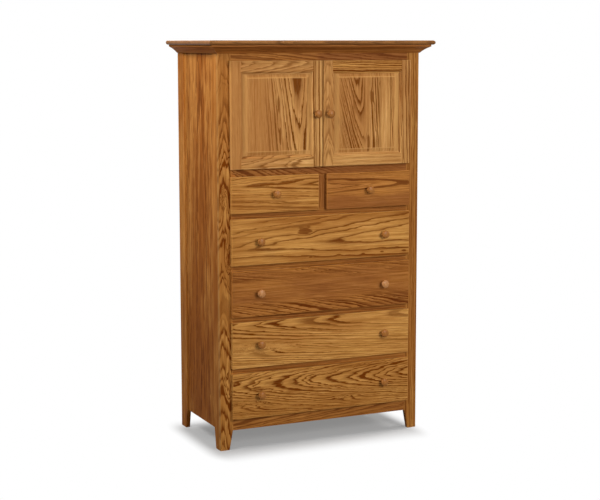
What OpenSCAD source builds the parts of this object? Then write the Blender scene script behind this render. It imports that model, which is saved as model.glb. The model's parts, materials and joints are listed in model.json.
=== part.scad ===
// Chest armoire of stained oak: two raised-panel doors over two small drawers and four wide ones.
// Millimetres, +Z up, front towards -Y. The origin is on the floor, under the middle of the whole
// piece with its crown. Sizes along the height stack up from the floor, one named value each.

/* [Case] */
// Width of the case, without the crown
body_w = 965; // [860:5:1100]
// Depth of the case, without the crown
body_d = 492; // [440:4:560]
// Thickness of the face frame
frame_t = 19; // [16:1:24]
// Width of a face frame stile, which is also the front of a front leg
stile_w = 58; // [50:1:70]
// Thickness of the side stiles
side_stile_t = 19; // [16:1:24]
// Width of a front leg seen from the side, with the face frame's thickness
front_leg_side_w = 70; // [60:1:90]
// Width of a rear leg seen from the side
rear_leg_side_w = 72; // [60:1:90]
// How far the side panel lies behind the faces of its stiles
panel_recess = 6; // [3:1:9]
// Overlap of the side panel in its stiles' rabbets
panel_lap = 8; // [5:1:12]
// Thickness of the back panel
back_t = 6; // [4:1:10]
// Width of the rabbet that holds the back panel
back_lap = 10; // [6:1:12]

/* [Legs] */
// Height of the case's lower edge above the floor
leg_h = 86; // [60:2:140]
// How much a leg narrows on each inner side towards the floor
leg_taper = 16; // [6:1:24]

/* [Fronts] */
// Height of a wide drawer's front
wide_front_h = 201; // [150:1:240]
// Height of a small drawer's front
small_front_h = 158; // [120:1:200]
// Height of a door
door_h = 460; // [380:5:620]
// Face frame that shows under the lowest front
bottom_reveal = 50; // [30:1:80]
// Face frame that shows between two rows of drawers
drawer_reveal = 24; // [16:1:40]
// Face frame that shows between the small drawers and the doors
door_reveal = 32; // [24:1:50]
// Face frame that shows between the doors and the crown
top_reveal = 31; // [20:1:60]
// Face frame that shows between the small drawers
divider_reveal = 40; // [24:1:60]
// How far a front or a door laps over the face frame
overlay = 6; // [5:1:8]
// Thickness of a drawer front
front_t = 19; // [16:1:24]
// Chamfer round the face of a front or a door
front_ease = 1.6; // [0.5:0.1:3]

/* [Doors] */
// Thickness of a door
door_t = 18; // [17:1:22]
// Space between the two doors
door_gap = 4; // [3:0.5:8]
// Width of a door's stiles and rails, with their moulded edge
door_rail_w = 57; // [52:1:80]
// Width of the moulded inner edge
stick_w = 12; // [10:1:16]
// Step between the flat and the moulded edge
stick_step = 1; // [0.5:0.5:2]
// Radius of the moulded edge
stick_r = 6; // [4:0.5:6]
// Thickness of the panel's tongue and of its groove
tongue_t = 5.5; // [4:0.5:6]
// Depth of the groove in the door's frame
groove_d = 9; // [6:1:10]
// Height of the groove over the door's back
groove_back = 3.5; // [3:0.5:4.5]
// Length of a rail's tenon in its stile
tenon_len = 26; // [16:1:32]
// Step from a rail's edges to its tenon
tenon_shoulder = 8; // [5:1:12]
// Width of the panel's bevel that shows
bevel_w = 16; // [10:1:30]
// Rise of the bevel from the tongue
bevel_rise = 4; // [2:0.5:5]
// Step from the bevel up to the raised field
field_step = 1.5; // [0.5:0.5:2]

/* [Hinges] */
// Radius of the hinge cup
cup_r = 17.5; // [15:0.5:17.5]
// Depth of the hinge cup
cup_d = 14; // [13.5:0.1:14.5]
// Wall of the hinge cup
cup_wall = 0.8; // [0.6:0.1:1]
// Wood left between the cup and the door's edge
cup_edge = 2.5; // [2:0.5:4]
// Distance of the pin from the door's outer edge
pin_edge = 7; // [6.5:0.5:7.5]
// Distance of the pin from the door's back
pin_deep = 10; // [9.5:0.5:10.5]
// Radius of the pin
pin_r = 1.2; // [1:0.1:1.4]
// Outer radius of the arm's knuckle
knuckle_r = 2.5; // [2.2:0.1:2.6]
// Thickness of the arm's steel
arm_t = 2; // [1.5:0.1:2]
// Half the height of the arm
arm_half_h = 5.5; // [4:0.5:5.5]
// How far the arm's neck stands from the pin
neck_reach = 14; // [13.5:0.5:16]
// Height of the plate on the face frame
plate_h = 42; // [30:1:60]
// Distance of a hinge's middle from the door's end
hinge_inset = 85; // [60:1:120]

/* [Drawers] */
// Thickness of a drawer box's walls
box_t = 12; // [10:1:16]
// Length of a drawer box
box_len = 430; // [360:5:430]
// Thickness of a drawer's bottom
bottom_t = 6; // [4:1:8]
// Depth of the grooves that hold the bottom
bottom_groove = 5; // [3:1:7]
// Height of the bottom over the box's lower edge
bottom_up = 11; // [8:1:16]
// Space left over a drawer box
box_head = 9; // [5:1:20]
// Distance between the dovetail pins at a box's corners
pin_pitch = 35; // [26:1:60]
// Width of a dovetail pin at the box's end
dovetail_w = 6; // [4:0.5:9]
// How much a dovetail pin widens on each side across the wall
dovetail_flare = 2; // [1:0.25:3]

/* [Inside] */
// Width of a runner under a drawer box
bearing_w = 20; // [14:1:40]
// Height of the guide beside a drawer box
guide_h = 24; // [16:1:40]
// Width of the rails across the back
rear_rail_w = 34; // [24:1:34]
// Thickness of the cupboard's floor and shelf
shelf_t = 19; // [16:1:24]
// Height of the shelf's top over the cupboard's floor
shelf_up = 262; // [150:1:340]
// Radius of a shelf pin
peg_r = 3; // [2.5:0.5:4]
// Depth of a shelf pin's hole
peg_hole = 9; // [6:1:12]
// Length of a shelf pin under the shelf
peg_out = 11; // [8:1:16]
// Distance of the shelf pins from the case's front and back
peg_inset = 46; // [40:1:50]

/* [Crown] */
// Thickness of the top board
top_t = 19; // [16:1:30]
// How far the top board stands past the case
top_out = 55; // [45:1:80]
// Height of the crown moulding
crown_h = 36; // [30:1:60]
// How far the crown moulding stands out at its top
crown_out = 41; // [34:1:43]
// How far it stands out at its foot
crown_foot = 6; // [3:1:10]
// Height of its lower fillet
foot_fillet_h = 3; // [2:0.5:5]
// Height of its upper fillet
top_fillet_h = 8; // [5:1:12]
// Radius of its cove
cove_r = 105; // [60:1:160]

/* [Knobs] */
// Radius of a knob's head
knob_r = 17.5; // [14:0.5:20]
// How far a knob stands out
knob_out = 27; // [24:1:32]
// Radius of the head's rounded rim
rim_r = 4.5; // [3:0.5:5]
// Radius of the neck
neck_r = 7.5; // [6:0.5:9]
// Radius of the base
base_r = 10; // [8:0.5:12]
// Thickness of the base
base_t = 3; // [2:0.5:5]
// Radius of the domed face
dome_r = 42; // [36:1:60]
// Distance of a wide drawer's knobs from the front's ends
knob_inset = 129; // [90:1:180]

/* [Hidden] */
// Fits
door_clear = 2.6;
glue_gap = 0.05;
bottom_clear = 0.1;
bottom_play = 0.5;
drawer_clear = 0.3;
slide_clear = 0.4;
side_clear = 1.5;
panel_play = 0.5;
shelf_play = 1.5;
shelf_setback = 12;
pin_clear = 0.05;
bumper_clear = 0.2;
overrun = 2;
wide_rows = 4;
$fn = 64;

// Places
half_w = body_w / 2;
front_y = (top_out - body_d) / 2;
back_y = front_y + body_d;
inside_x = half_w - side_stile_t;
opening_x = half_w - stile_w;
frame_back_y = front_y + frame_t;
back_panel_y = back_y - back_t;
rear_rail_y = back_panel_y - rear_rail_w;
first_front_z = leg_h + bottom_reveal;
row_step = wide_front_h + drawer_reveal;
small_front_z = first_front_z + wide_rows * row_step;
door_z = small_front_z + small_front_h + door_reveal;
door_top_z = door_z + door_h;
crown_z = door_top_z + top_reveal;
case_h = crown_z + crown_h;
rail_h = drawer_reveal + 2 * overlay;
divider_w = divider_reveal + 2 * overlay;
floor_top_z = door_z + overlay;
kicker_z = small_front_z + small_front_h - overlay;
shelf_z = floor_top_z + shelf_up - shelf_t;

// Doors
door_x = half_w - stile_w + overlay;
door_w = door_x - door_gap / 2;
door_back_y = front_y - door_clear;
door_flat_w = door_rail_w - stick_w;
pin_x = door_x - pin_edge;
pin_y = door_back_y - pin_deep;

// Drawers
drawer_back_y = front_y - drawer_clear;
wide_open_h = wide_front_h - 2 * overlay;
small_open_h = small_front_h - 2 * overlay;

// Colours
OAK = "#a66f35";
OAK_DARK = "#8a5226";
OAK_RED = "#96592c";
OAK_PALE = "#b47e44";
MAPLE = "#d9b98a";
PLY = "#c9a777";
STEEL = "#b9bbbd";
FELT = "#e6e2d6";

// The lowest point of a wide drawer's front, counted from the top row, 1, to the bottom row
function wide_front_z(row) = first_front_z + (wide_rows - row) * row_step;

// A board between two corners
module board(low, high) {
  translate(low) cube(high - low);
}

// Lays an outline drawn in X and Z upright, from y_low backwards
module upright_xz(y_low, thick) {
  translate([0, y_low + thick, 0]) rotate([90, 0, 0]) linear_extrude(thick) children();
}

// Lays an outline drawn in Y and Z upright, from x_low to the right
module upright_yz(x_low, thick) {
  translate([x_low, 0, 0]) rotate([90, 0, 90]) linear_extrude(thick) children();
}

// The same piece on the right-hand side
module on_right() {
  mirror([1, 0, 0]) children();
}

// A slab with its back at y = 0 and its face chamfered all round
module eased_slab(width, height, thick) {
  intersection() {
    linear_extrude(height) mirror([0, 1]) eased_profile(width, thick);
    upright_yz(0, width) rotate(90) eased_profile(height, thick);
  }
}

module eased_profile(length, thick) {
  polygon([[0, 0], [length, 0], [length, thick - front_ease], [length - front_ease, thick],
    [front_ease, thick], [0, thick - front_ease]]);
}

// Case: stiles and side panels, drawn for the left side

module front_stile() {
  translate([-half_w, 0, 0]) upright_xz(front_y, frame_t) polygon([
    [0, 0], [stile_w - leg_taper, 0], [stile_w, leg_h], [stile_w, case_h], [0, case_h]
  ]);
}

// The cut that takes the side panel's edge, from the inside face of a stile
module panel_rabbet(y_low) {
  low = [-half_w + panel_recess, y_low, leg_h];
  board(low, [-inside_x + overrun, y_low + panel_lap + overrun, case_h + overrun]);
}

// Holes for the shelf pins, at one place along the depth
module peg_holes(y_at) {
  translate([-inside_x - peg_hole, y_at, shelf_z - peg_r]) rotate([0, 90, 0])
    cylinder(h = peg_hole + overrun, r = peg_r);
}

module side_stile_front() {
  width = front_leg_side_w - frame_t;
  difference() {
    upright_yz(-half_w, side_stile_t) translate([frame_back_y, 0]) polygon([
      [0, 0], [width - leg_taper, 0], [width, leg_h], [width, case_h], [0, case_h]
    ]);
    panel_rabbet(front_y + front_leg_side_w - panel_lap);
    peg_holes(front_y + peg_inset);
  }
}

module side_stile_rear() {
  difference() {
    upright_yz(-half_w, side_stile_t) translate([back_y - rear_leg_side_w, 0]) polygon([
      [leg_taper, 0], [rear_leg_side_w, 0], [rear_leg_side_w, case_h], [0, case_h], [0, leg_h]
    ]);
    panel_rabbet(back_y - rear_leg_side_w - overrun);
    peg_holes(back_y - peg_inset);
    board([-inside_x - back_lap, back_panel_y, leg_h],
      [-inside_x + overrun, back_y + overrun, case_h + overrun]);
  }
}

module side_panel() {
  board([-half_w + panel_recess, front_y + front_leg_side_w - panel_lap, leg_h],
    [-inside_x, back_y - rear_leg_side_w + panel_lap, case_h]);
}

// Case: face frame rails

module face_rail(z_low, z_high) {
  board([-opening_x, front_y, z_low], [opening_x, frame_back_y, z_high]);
}

// Drawer runners and their guides, drawn for the left side. The guide fills the space
// between the case's side and the opening, so it keeps the box straight.
module runner_pair(rail_top_z) {
  board([-inside_x, frame_back_y, rail_top_z - rail_h],
    [-opening_x + bearing_w, rear_rail_y, rail_top_z]);
  board([-inside_x, frame_back_y, rail_top_z], [-opening_x, rear_rail_y, rail_top_z + guide_h]);
}

module runners() {
  for (row = [0:wide_rows]) {
    runner_pair(first_front_z + overlay + row * row_step);
  }
}

// Crown moulding

module crown_profile() {
  cove_top = crown_h - top_fillet_h;
  run = crown_out - crown_foot;
  rise = cove_top - foot_fillet_h;
  chord = sqrt(run * run + rise * rise);
  sag = sqrt(cove_r * cove_r - chord * chord / 4);
  difference() {
    polygon([[0, 0], [crown_foot, 0], [crown_foot, foot_fillet_h], [crown_out, cove_top],
      [crown_out, crown_h], [0, crown_h]]);
    translate([crown_foot + run / 2 + sag * rise / chord, foot_fillet_h + rise / 2 - sag * run / chord])
      circle(cove_r);
  }
}

// The plan of one crown piece, which its mitres bound
module crown_plan(points) {
  translate([0, 0, crown_z - overrun]) linear_extrude(crown_h + 2 * overrun) polygon(points);
}

module crown_side() {
  intersection() {
    translate([-half_w, back_y, crown_z]) rotate([90, 0, 0]) linear_extrude(body_d + top_out)
      mirror([1, 0]) crown_profile();
    crown_plan([[-half_w, front_y], [-half_w - top_out, front_y - top_out], [-half_w - top_out, back_y],
      [-half_w, back_y]]);
  }
}

// Doors, drawn for the left door. A profile runs from the door's outer edge inwards along X
// and from its back to its face along Y.

module door_edge_profile() {
  moulded = door_t - stick_step - stick_r;
  difference() {
    union() {
      square([door_flat_w, door_t]);
      square([door_rail_w, moulded]);
      translate([door_flat_w, moulded]) intersection() {
        circle(stick_r);
        square(stick_r + overrun);
      }
    }
    translate([door_rail_w - groove_d, groove_back]) square([groove_d + overrun, tongue_t]);
  }
}

// The face of a stile: its moulded edge ends in mitres against the rails
module door_stile_face() {
  polygon([[0, 0], [door_flat_w, 0], [door_flat_w, door_flat_w], [door_rail_w, door_rail_w],
    [door_rail_w, door_h - door_rail_w], [door_flat_w, door_h - door_flat_w], [door_flat_w, door_h],
    [0, door_h]]);
}

module door_rail_face() {
  polygon([[door_flat_w, 0], [door_w - door_flat_w, 0], [door_w - door_flat_w, door_flat_w],
    [door_w - door_rail_w, door_rail_w], [door_rail_w, door_rail_w], [door_flat_w, door_flat_w]]);
}

// The tenon at the left end of the lower rail, or its mortise where grow is more than zero
module door_tenon(grow) {
  board([door_flat_w - tenon_len - grow, -groove_back - tongue_t - grow, tenon_shoulder - grow],
    [door_flat_w + overrun, -groove_back + grow, door_flat_w - tenon_shoulder + grow]);
}

// A door stile with its outer edge at x = 0 and its back at y = 0
module door_stile() {
  difference() {
    intersection() {
      eased_slab(door_w, door_h, door_t);
      linear_extrude(door_h) mirror([0, 1]) door_edge_profile();
      upright_xz(-door_t - overrun, door_t + 2 * overrun) door_stile_face();
    }
    door_tenon(glue_gap);
    translate([0, 0, door_h]) mirror([0, 0, 1]) door_tenon(glue_gap);
  }
}

module door_rail_piece() {
  intersection() {
    eased_slab(door_w, door_h, door_t);
    upright_yz(0, door_w) rotate(90) door_edge_profile();
    upright_xz(-door_t - overrun, door_t + 2 * overrun) door_rail_face();
  }
  door_tenon(0);
  translate([door_w, 0, 0]) mirror([1, 0, 0]) door_tenon(0);
}

module hinge_cup_bores() {
  for (z_at = [hinge_inset, door_h - hinge_inset]) {
    translate([cup_edge + cup_r, overrun, z_at]) rotate([90, 0, 0])
      cylinder(h = cup_d + overrun, r = cup_r);
  }
}

// Section of the raised panel across a length, its tongue in the grooves at both ends
module panel_profile(length) {
  tongue = door_rail_w - groove_d + panel_play;
  tongue_top = groove_back + tongue_t;
  field = door_rail_w + bevel_w;
  polygon([[tongue, groove_back], [length - tongue, groove_back], [length - tongue, tongue_top],
    [length - door_rail_w, tongue_top], [length - field, tongue_top + bevel_rise],
    [length - field, tongue_top + bevel_rise + field_step],
    [field, tongue_top + bevel_rise + field_step], [field, tongue_top + bevel_rise],
    [door_rail_w, tongue_top], [tongue, tongue_top]]);
}

module door_panel() {
  intersection() {
    linear_extrude(door_h) mirror([0, 1]) panel_profile(door_w);
    upright_yz(0, door_w) rotate(90) panel_profile(door_h);
  }
}

// Puts what is drawn in the door's own place on the left door
module in_left_door() {
  translate([-door_x, door_back_y, door_z]) children();
}

// Hinges: a cup in the door holds the pin, and an arm on the face frame turns on it. The arm's
// neck leaves room for the door's edge, which comes round between the pin and the face frame.

module hinge_cup() {
  centre_x = cup_edge + cup_r;
  pin_half = sqrt(pow(cup_r - cup_wall / 2, 2) - pow(centre_x - pin_edge, 2));
  difference() {
    translate([centre_x, 0, 0]) rotate([90, 0, 0]) cylinder(h = cup_d, r = cup_r);
    translate([centre_x, overrun, 0]) rotate([90, 0, 0])
      cylinder(h = cup_d - cup_wall + overrun, r = cup_r - cup_wall);
  }
  translate([pin_edge, -pin_deep, -pin_half]) cylinder(h = 2 * pin_half, r = pin_r);
}

module hinge_cups() {
  for (z_at = [hinge_inset, door_h - hinge_inset]) {
    translate([0, 0, z_at]) hinge_cup();
  }
}

// The arm seen from above, with the pin at the origin and the door towards +X
module arm_outline() {
  edge_x = overlay - pin_edge;
  frame_y = pin_deep + door_clear;
  difference() {
    union() {
      circle(knuckle_r);
      translate([0, -knuckle_r]) square([neck_reach + arm_t, arm_t]);
      translate([neck_reach, -knuckle_r]) square([arm_t, knuckle_r + frame_y + arm_t]);
      translate([edge_x, frame_y]) square([neck_reach + arm_t - edge_x, arm_t]);
    }
    circle(pin_r + pin_clear);
  }
}

module hinge_arm() {
  edge_x = overlay - pin_edge;
  frame_y = pin_deep + door_clear;
  translate([0, 0, -arm_half_h]) linear_extrude(2 * arm_half_h) arm_outline();
  translate([edge_x, frame_y, -plate_h / 2]) cube([arm_t, frame_t, plate_h]);
}

module left_hinge_arms() {
  for (z_at = [hinge_inset, door_h - hinge_inset]) {
    translate([-pin_x, pin_y, door_z + z_at]) hinge_arm();
  }
}

// Knobs, turned on an axis that points forwards out of the front

module knob_profile() {
  rim_y = knob_out - rim_r - (knob_r * knob_r) / (2 * dome_r);
  square([neck_r, rim_y]);
  square([base_r, base_t]);
  polygon([[neck_r, base_t], [base_r, base_t], [neck_r, base_t + base_r - neck_r]]);
  translate([knob_r - rim_r, rim_y]) circle(rim_r);
  translate([0, rim_y - rim_r]) square([knob_r - rim_r, 2 * rim_r]);
  intersection() {
    translate([0, knob_out - dome_r]) circle(dome_r);
    translate([0, rim_y]) square([knob_r - rim_r, knob_out]);
  }
}

module knob(x_at, y_back, z_at) {
  translate([x_at, y_back, z_at]) rotate([90, 0, 0]) rotate_extrude() intersection() {
    knob_profile();
    square(knob_out + knob_r);
  }
}

// Drawers

module drawer_front(x_low, x_high, z_low, height) {
  translate([x_low, drawer_back_y, z_low]) eased_slab(x_high - x_low, height, front_t);
}

// A box of two sides, a front and a back in through dovetails, with a bottom in their grooves
module drawer_box(x_low, x_high, z_low, open_h) {
  width = x_high - x_low - 2 * side_clear;
  height = open_h - slide_clear - box_head;
  translate([x_low + side_clear, drawer_back_y, z_low + slide_clear]) {
    difference() {
      box_walls(width, height);
      bottom_board(width, bottom_clear, 0);
    }
    bottom_board(width, 0, bottom_play);
  }
}

module box_walls(width, height) {
  for (x_at = [0, width - box_t]) {
    upright_yz(x_at, box_t) difference() {
      square([box_len, height]);
      dovetail_pins(height, 0);
      translate([box_len, 0]) mirror([1, 0]) dovetail_pins(height, 0);
    }
  }
  box_end(width, height);
  translate([0, box_len, 0]) mirror([0, 1, 0]) box_end(width, height);
}

// The front of a box: a board between the sides, and its pins, which reach through them
module box_end(width, height) {
  inner = box_t + glue_gap;
  board([inner, 0, 0], [width - inner, box_t, height]);
  for (x_at = [0, width - inner - overrun]) {
    upright_yz(x_at, inner + overrun) intersection() {
      dovetail_pins(height, glue_gap);
      square([box_t, height]);
    }
  }
}

// The pins along a corner, seen from the side. They are narrow at the box's end, and half a pin
// is at the top and at the bottom. shrink is the room for glue on all their faces.
module dovetail_pins(height, shrink) {
  tails = round(height / pin_pitch);
  root = box_t - shrink;
  tip = dovetail_w / 2 - shrink;
  for (k = [0:tails]) {
    translate([0, k * height / tails])
      polygon([[0, -tip], [root, -tip - dovetail_flare], [root, tip + dovetail_flare], [0, tip]]);
  }
}

// The bottom board, or the groove that it slides in: loose is the groove's room over and under
// the board, and short is how much less far the board reaches than the groove
module bottom_board(width, loose, short) {
  reach = box_t - bottom_groove + short;
  board([reach, reach, bottom_up - loose], [width - reach, box_len - reach, bottom_up + bottom_t + loose]);
}

module wide_front(row) {
  color(OAK) drawer_front(-door_x, door_x, wide_front_z(row), wide_front_h);
}

module wide_box(row) {
  color(MAPLE) drawer_box(-opening_x, opening_x, wide_front_z(row) + overlay, wide_open_h);
}

module wide_knobs(row) {
  for (x_at = [-door_x + knob_inset, door_x - knob_inset]) {
    color(OAK_PALE) knob(x_at, drawer_back_y - front_t, wide_front_z(row) + wide_front_h / 2);
  }
}

module small_front() {
  drawer_front(-door_x, -divider_reveal / 2, small_front_z, small_front_h);
}

module small_box() {
  drawer_box(-opening_x, -divider_w / 2, small_front_z + overlay, small_open_h);
}

module small_knob() {
  knob(-(door_x + divider_reveal / 2) / 2, drawer_back_y - front_t, small_front_z + small_front_h / 2);
}

// Sub-parts of the case

module front_stile_left() { color(OAK) front_stile(); }
module front_stile_right() { color(OAK) on_right() front_stile(); }
module side_stile_front_left() { color(OAK_RED) side_stile_front(); }
module side_stile_front_right() { color(OAK_RED) on_right() side_stile_front(); }
module side_stile_rear_left() { color(OAK_RED) side_stile_rear(); }
module side_stile_rear_right() { color(OAK_RED) on_right() side_stile_rear(); }
module side_panel_left() { color(OAK_DARK) side_panel(); }
module side_panel_right() { color(OAK_DARK) on_right() side_panel(); }

module top_rail() {
  color(OAK_RED) face_rail(door_top_z - overlay, case_h);
}

module door_rail() {
  color(OAK_RED) face_rail(kicker_z, floor_top_z);
}

module drawer_rails() {
  for (row = [1:wide_rows]) {
    top = first_front_z + overlay + row * row_step;
    color(OAK_RED) face_rail(top - rail_h, top);
  }
}

module bottom_rail() {
  color(OAK_RED) face_rail(leg_h, first_front_z + overlay);
}

module drawer_divider() {
  color(OAK) board([-divider_w / 2, front_y, small_front_z + overlay],
    [divider_w / 2, frame_back_y, kicker_z]);
}

module runners_left() { color(PLY) runners(); }
module runners_right() { color(PLY) on_right() runners(); }

module rear_rails() {
  for (row = [0:wide_rows]) {
    top = first_front_z + overlay + row * row_step;
    color(PLY) board([-inside_x, rear_rail_y, top - rail_h], [inside_x, back_panel_y, top]);
  }
}

// Carries the small drawers' inner sides, with a guide between the two boxes
module centre_runner() {
  top = small_front_z + overlay;
  color(PLY) board([-divider_w / 2 - bearing_w, frame_back_y, top - rail_h],
    [divider_w / 2 + bearing_w, rear_rail_y, top]);
  color(PLY) board([-divider_w / 2, frame_back_y, top], [divider_w / 2, rear_rail_y, top + guide_h]);
}

// Strips over the small drawers that keep them level when they are pulled out
module kickers() {
  top = floor_top_z - shelf_t;
  side_x = opening_x - bearing_w;
  centre_x = divider_w / 2 + bearing_w;
  for (span = [[-inside_x, -side_x], [-centre_x, centre_x], [side_x, inside_x]]) {
    color(PLY) board([span[0], frame_back_y, kicker_z], [span[1], back_panel_y, top]);
  }
}

module cupboard_floor() {
  color(PLY) board([-inside_x, frame_back_y, floor_top_z - shelf_t], [inside_x, back_panel_y, floor_top_z]);
}

module cupboard_shelf() {
  color(OAK) board([-inside_x + shelf_play, frame_back_y + shelf_setback, shelf_z],
    [inside_x - shelf_play, back_panel_y - shelf_play, shelf_z + shelf_t]);
}

module shelf_pins() {
  for (x_low = [-inside_x - peg_hole, inside_x - peg_out], y_at = [front_y + peg_inset, back_y - peg_inset]) {
    color(STEEL) translate([x_low, y_at, shelf_z - peg_r]) rotate([0, 90, 0])
      cylinder(h = peg_hole + peg_out, r = peg_r);
  }
}

module back_panel() {
  color(PLY) board([-inside_x - back_lap, back_panel_y, leg_h], [inside_x + back_lap, back_y, case_h]);
}

// Top board, half round along its front and its two ends
module top_board() {
  edge_r = top_t / 2;
  ends_x = half_w + top_out - edge_r;
  nose_y = front_y - top_out + edge_r;
  color(OAK) translate([0, 0, case_h]) intersection() {
    upright_xz(nose_y - edge_r, body_d + top_out) union() {
      translate([-ends_x, 0]) square([2 * ends_x, top_t]);
      for (x_at = [-ends_x, ends_x]) {
        translate([x_at, edge_r]) circle(edge_r);
      }
    }
    upright_yz(-ends_x - edge_r, 2 * (ends_x + edge_r)) union() {
      translate([nose_y, 0]) square([back_y - nose_y, top_t]);
      translate([nose_y, edge_r]) circle(edge_r);
    }
  }
}

module crown_front() {
  color(OAK_DARK) intersection() {
    translate([0, front_y, crown_z]) upright_yz(-half_w - top_out, body_w + 2 * top_out)
      mirror([1, 0]) crown_profile();
    crown_plan([[-half_w, front_y], [half_w, front_y], [half_w + top_out, front_y - top_out],
      [-half_w - top_out, front_y - top_out]]);
  }
}

module crown_left() { color(OAK_DARK) crown_side(); }
module crown_right() { color(OAK_DARK) on_right() crown_side(); }

module hinge_arms() {
  color(STEEL) left_hinge_arms();
  color(STEEL) on_right() left_hinge_arms();
}

// Pads on the face frame that the doors close against
module door_bumpers() {
  pad_t = door_clear - bumper_clear;
  pad_x = door_gap / 2 + door_rail_w / 2;
  for (x_at = [-pad_x, pad_x], z_at = [door_z + overlay / 2, door_top_z - overlay / 2]) {
    color(FELT) translate([x_at, front_y, z_at]) rotate([90, 0, 0]) cylinder(h = pad_t, r = overlay / 2);
  }
}

// Sub-parts of the doors

module hinge_stile_piece() {
  in_left_door() difference() {
    door_stile();
    hinge_cup_bores();
  }
}

module lock_stile_piece() {
  in_left_door() translate([door_w, 0, 0]) mirror([1, 0, 0]) door_stile();
}

module top_rail_piece() {
  in_left_door() translate([0, 0, door_h]) mirror([0, 0, 1]) door_rail_piece();
}

module knob_piece() {
  knob(-door_gap / 2 - door_rail_w / 2, door_back_y - door_t, door_z + door_h / 2);
}

module left_door_hinge_stile() { color(OAK) hinge_stile_piece(); }
module left_door_lock_stile() { color(OAK) lock_stile_piece(); }
module left_door_top_rail() { color(OAK_RED) top_rail_piece(); }
module left_door_bottom_rail() { color(OAK_RED) in_left_door() door_rail_piece(); }
module left_door_panel() { color(OAK_PALE) in_left_door() door_panel(); }
module left_door_knob() { color(OAK_PALE) knob_piece(); }
module left_door_hinge_cups() { color(STEEL) in_left_door() hinge_cups(); }
module right_door_hinge_stile() { color(OAK) on_right() hinge_stile_piece(); }
module right_door_lock_stile() { color(OAK) on_right() lock_stile_piece(); }
module right_door_top_rail() { color(OAK_RED) on_right() top_rail_piece(); }
module right_door_bottom_rail() { color(OAK_RED) on_right() in_left_door() door_rail_piece(); }
module right_door_panel() { color(OAK_PALE) on_right() in_left_door() door_panel(); }
module right_door_knob() { color(OAK_PALE) on_right() knob_piece(); }
module right_door_hinge_cups() { color(STEEL) on_right() in_left_door() hinge_cups(); }

// Sub-parts of the drawers

module small_drawer_left_front() { color(OAK) small_front(); }
module small_drawer_left_box() { color(MAPLE) small_box(); }
module small_drawer_left_knob() { color(OAK_PALE) small_knob(); }
module small_drawer_right_front() { color(OAK) on_right() small_front(); }
module small_drawer_right_box() { color(MAPLE) on_right() small_box(); }
module small_drawer_right_knob() { color(OAK_PALE) on_right() small_knob(); }
module drawer_1_front() { wide_front(1); }
module drawer_1_box() { wide_box(1); }
module drawer_1_knobs() { wide_knobs(1); }
module drawer_2_front() { wide_front(2); }
module drawer_2_box() { wide_box(2); }
module drawer_2_knobs() { wide_knobs(2); }
module drawer_3_front() { wide_front(3); }
module drawer_3_box() { wide_box(3); }
module drawer_3_knobs() { wide_knobs(3); }
module drawer_4_front() { wide_front(4); }
module drawer_4_box() { wide_box(4); }
module drawer_4_knobs() { wide_knobs(4); }

front_stile_left();
front_stile_right();
side_stile_front_left();
side_stile_front_right();
side_stile_rear_left();
side_stile_rear_right();
side_panel_left();
side_panel_right();
top_rail();
door_rail();
drawer_rails();
bottom_rail();
drawer_divider();
runners_left();
runners_right();
rear_rails();
centre_runner();
kickers();
cupboard_floor();
cupboard_shelf();
shelf_pins();
back_panel();
top_board();
crown_front();
crown_left();
crown_right();
hinge_arms();
door_bumpers();
left_door_hinge_stile();
left_door_lock_stile();
left_door_top_rail();
left_door_bottom_rail();
left_door_panel();
left_door_knob();
left_door_hinge_cups();
right_door_hinge_stile();
right_door_lock_stile();
right_door_top_rail();
right_door_bottom_rail();
right_door_panel();
right_door_knob();
right_door_hinge_cups();
small_drawer_left_front();
small_drawer_left_box();
small_drawer_left_knob();
small_drawer_right_front();
small_drawer_right_box();
small_drawer_right_knob();
drawer_1_front();
drawer_1_box();
drawer_1_knobs();
drawer_2_front();
drawer_2_box();
drawer_2_knobs();
drawer_3_front();
drawer_3_box();
drawer_3_knobs();
drawer_4_front();
drawer_4_box();
drawer_4_knobs();
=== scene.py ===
"""Chest armoire: stained oak, lights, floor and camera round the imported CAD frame.

Metres, +Z up, the front towards -Y, as in the CAD.
"""
import json
import math

import bpy
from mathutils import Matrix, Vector

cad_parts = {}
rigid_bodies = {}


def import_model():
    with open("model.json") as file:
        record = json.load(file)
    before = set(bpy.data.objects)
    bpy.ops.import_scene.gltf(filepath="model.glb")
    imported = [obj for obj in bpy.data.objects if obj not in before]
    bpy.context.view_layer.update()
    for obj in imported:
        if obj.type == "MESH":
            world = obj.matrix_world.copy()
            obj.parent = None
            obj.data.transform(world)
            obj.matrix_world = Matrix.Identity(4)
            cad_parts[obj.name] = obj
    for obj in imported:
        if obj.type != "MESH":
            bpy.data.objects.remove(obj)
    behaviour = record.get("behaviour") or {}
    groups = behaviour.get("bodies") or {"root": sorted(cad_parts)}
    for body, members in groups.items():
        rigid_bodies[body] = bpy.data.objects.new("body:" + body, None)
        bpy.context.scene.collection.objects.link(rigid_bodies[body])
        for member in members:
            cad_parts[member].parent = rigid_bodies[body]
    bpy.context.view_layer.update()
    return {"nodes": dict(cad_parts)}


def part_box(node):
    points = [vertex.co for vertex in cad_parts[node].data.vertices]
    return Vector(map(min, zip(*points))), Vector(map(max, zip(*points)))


for left_over in list(bpy.data.objects):
    bpy.data.objects.remove(left_over)
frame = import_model()
NODES = frame["nodes"]

# Shader graphs

WHITE = (1.0, 1.0, 1.0, 1.0)
# The sRGB curve: its straight part's end and slope, and its power part
SRGB_END, SRGB_SLOPE, SRGB_OFFSET, SRGB_POWER = 0.04045, 12.92, 0.055, 2.4
# The sockets of a Mix node that mixes colours
MIX_SHARE, MIX_A, MIX_B, MIX_OUT = 0, 6, 7, 2
# What a noise texture is on average
NOISE_MIDDLE = 0.5
# How a seed moves a noise along its three axes
SEED_STEPS = (1.0, 1.7, -1.0)
# A warm ramp raises its grey levels to these powers for red, green and blue
WARM_POWERS = (0.7, 1.0, 1.5)


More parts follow.
